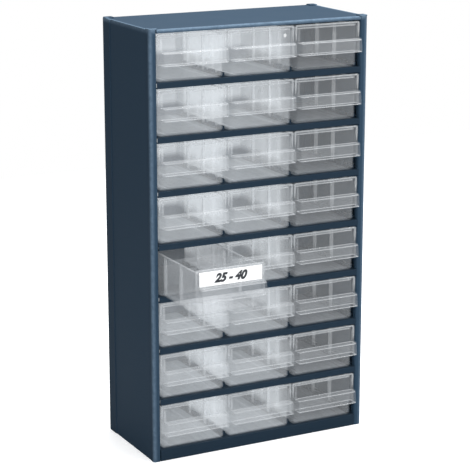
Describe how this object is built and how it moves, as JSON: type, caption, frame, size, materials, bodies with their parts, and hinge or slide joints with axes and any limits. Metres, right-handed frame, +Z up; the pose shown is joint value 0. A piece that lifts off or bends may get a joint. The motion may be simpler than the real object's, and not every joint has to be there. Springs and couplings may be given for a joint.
{
  "type": "parts organizer",
  "caption": "Steel cabinet with a grid of clear plastic drawers for small parts, each sliding out on its shelf, with a full-width finger pull.",
  "frame": {"origin": "centre of the steel shell's underside, on the surface it stands on", "axes": "+Z up; -Y out of the front, the way the drawers slide; +X to the right seen from the front"},
  "size_m": [0.306, 0.25, 0.5504],
  "materials": {
    "painted_steel": "smooth semi-gloss powder coat, dark blue-grey",
    "clear_plastic": "clear moulded polystyrene with a slight milky haze",
    "white_card": "white printed card"
  },
  "bodies": {
    "cabinet": {"left_side_panel": "painted_steel", "right_side_panel": "painted_steel", "top_panel": "painted_steel", "bottom_panel": "painted_steel", "back_panel": "painted_steel", "corner_caps": "painted_steel", "shelf_1": "painted_steel", "shelf_2": "painted_steel", "shelf_3": "painted_steel", "shelf_4": "painted_steel", "shelf_5": "painted_steel", "shelf_6": "painted_steel", "shelf_7": "painted_steel", "shelf_8": "painted_steel"},
    "drawer_1_1": {"drawer_1_1": "clear_plastic"},
    "drawer_1_2": {"drawer_1_2": "clear_plastic"},
    "drawer_1_3": {"drawer_1_3": "clear_plastic"},
    "drawer_2_1": {"drawer_2_1": "clear_plastic"},
    "drawer_2_2": {"drawer_2_2": "clear_plastic"},
    "drawer_2_3": {"drawer_2_3": "clear_plastic"},
    "drawer_3_1": {"drawer_3_1": "clear_plastic"},
    "drawer_3_2": {"drawer_3_2": "clear_plastic"},
    "drawer_3_3": {"drawer_3_3": "clear_plastic"},
    "drawer_4_1": {"drawer_4_1": "clear_plastic"},
    "drawer_4_2": {"drawer_4_2": "clear_plastic"},
    "drawer_4_3": {"drawer_4_3": "clear_plastic"},
    "drawer_5_1": {"drawer_5_1": "clear_plastic", "divider_1": "clear_plastic", "divider_2": "clear_plastic", "label_card": "white_card"},
    "drawer_5_2": {"drawer_5_2": "clear_plastic"},
    "drawer_5_3": {"drawer_5_3": "clear_plastic"},
    "drawer_6_1": {"drawer_6_1": "clear_plastic"},
    "drawer_6_2": {"drawer_6_2": "clear_plastic"},
    "drawer_6_3": {"drawer_6_3": "clear_plastic"},
    "drawer_7_1": {"drawer_7_1": "clear_plastic"},
    "drawer_7_2": {"drawer_7_2": "clear_plastic"},
    "drawer_7_3": {"drawer_7_3": "clear_plastic"},
    "drawer_8_1": {"drawer_8_1": "clear_plastic"},
    "drawer_8_2": {"drawer_8_2": "clear_plastic"},
    "drawer_8_3": {"drawer_8_3": "clear_plastic"}
  },
  "joints": [
    {"name": "drawer_1_1_slide", "type": "slide", "parent": "cabinet", "child": "drawer_1_1", "axis": [0, -1, 0], "range_m": [0, 0.111]},
    {"name": "drawer_1_2_slide", "type": "slide", "parent": "cabinet", "child": "drawer_1_2", "axis": [0, -1, 0], "range_m": [0, 0.111]},
    {"name": "drawer_1_3_slide", "type": "slide", "parent": "cabinet", "child": "drawer_1_3", "axis": [0, -1, 0], "range_m": [0, 0.111]},
    {"name": "drawer_2_1_slide", "type": "slide", "parent": "cabinet", "child": "drawer_2_1", "axis": [0, -1, 0], "range_m": [0, 0.111]},
    {"name": "drawer_2_2_slide", "type": "slide", "parent": "cabinet", "child": "drawer_2_2", "axis": [0, -1, 0], "range_m": [0, 0.111]},
    {"name": "drawer_2_3_slide", "type": "slide", "parent": "cabinet", "child": "drawer_2_3", "axis": [0, -1, 0], "range_m": [0, 0.111]},
    {"name": "drawer_3_1_slide", "type": "slide", "parent": "cabinet", "child": "drawer_3_1", "axis": [0, -1, 0], "range_m": [0, 0.111]},
    {"name": "drawer_3_2_slide", "type": "slide", "parent": "cabinet", "child": "drawer_3_2", "axis": [0, -1, 0], "range_m": [0, 0.111]},
    {"name": "drawer_3_3_slide", "type": "slide", "parent": "cabinet", "child": "drawer_3_3", "axis": [0, -1, 0], "range_m": [0, 0.111]},
    {"name": "drawer_4_1_slide", "type": "slide", "parent": "cabinet", "child": "drawer_4_1", "axis": [0, -1, 0], "range_m": [0, 0.111]},
    {"name": "drawer_4_2_slide", "type": "slide", "parent": "cabinet", "child": "drawer_4_2", "axis": [0, -1, 0], "range_m": [0, 0.111]},
    {"name": "drawer_4_3_slide", "type": "slide", "parent": "cabinet", "child": "drawer_4_3", "axis": [0, -1, 0], "range_m": [0, 0.111]},
    {"name": "drawer_5_1_slide", "type": "slide", "parent": "cabinet", "child": "drawer_5_1", "axis": [0, -1, 0], "range_m": [-0.1, 0.011]},
    {"name": "drawer_5_2_slide", "type": "slide", "parent": "cabinet", "child": "drawer_5_2", "axis": [0, -1, 0], "range_m": [0, 0.111]},
    {"name": "drawer_5_3_slide", "type": "slide", "parent": "cabinet", "child": "drawer_5_3", "axis": [0, -1, 0], "range_m": [0, 0.111]},
    {"name": "drawer_6_1_slide", "type": "slide", "parent": "cabinet", "child": "drawer_6_1", "axis": [0, -1, 0], "range_m": [0, 0.111]},
    {"name": "drawer_6_2_slide", "type": "slide", "parent": "cabinet", "child": "drawer_6_2", "axis": [0, -1, 0], "range_m": [0, 0.111]},
    {"name": "drawer_6_3_slide", "type": "slide", "parent": "cabinet", "child": "drawer_6_3", "axis": [0, -1, 0], "range_m": [0, 0.111]},
    {"name": "drawer_7_1_slide", "type": "slide", "parent": "cabinet", "child": "drawer_7_1", "axis": [0, -1, 0], "range_m": [0, 0.111]},
    {"name": "drawer_7_2_slide", "type": "slide", "parent": "cabinet", "child": "drawer_7_2", "axis": [0, -1, 0], "range_m": [0, 0.111]},
    {"name": "drawer_7_3_slide", "type": "slide", "parent": "cabinet", "child": "drawer_7_3", "axis": [0, -1, 0], "range_m": [0, 0.111]},
    {"name": "drawer_8_1_slide", "type": "slide", "parent": "cabinet", "child": "drawer_8_1", "axis": [0, -1, 0], "range_m": [0, 0.111]},
    {"name": "drawer_8_2_slide", "type": "slide", "parent": "cabinet", "child": "drawer_8_2", "axis": [0, -1, 0], "range_m": [0, 0.111]},
    {"name": "drawer_8_3_slide", "type": "slide", "parent": "cabinet", "child": "drawer_8_3", "axis": [0, -1, 0], "range_m": [0, 0.111]}
  ]
}
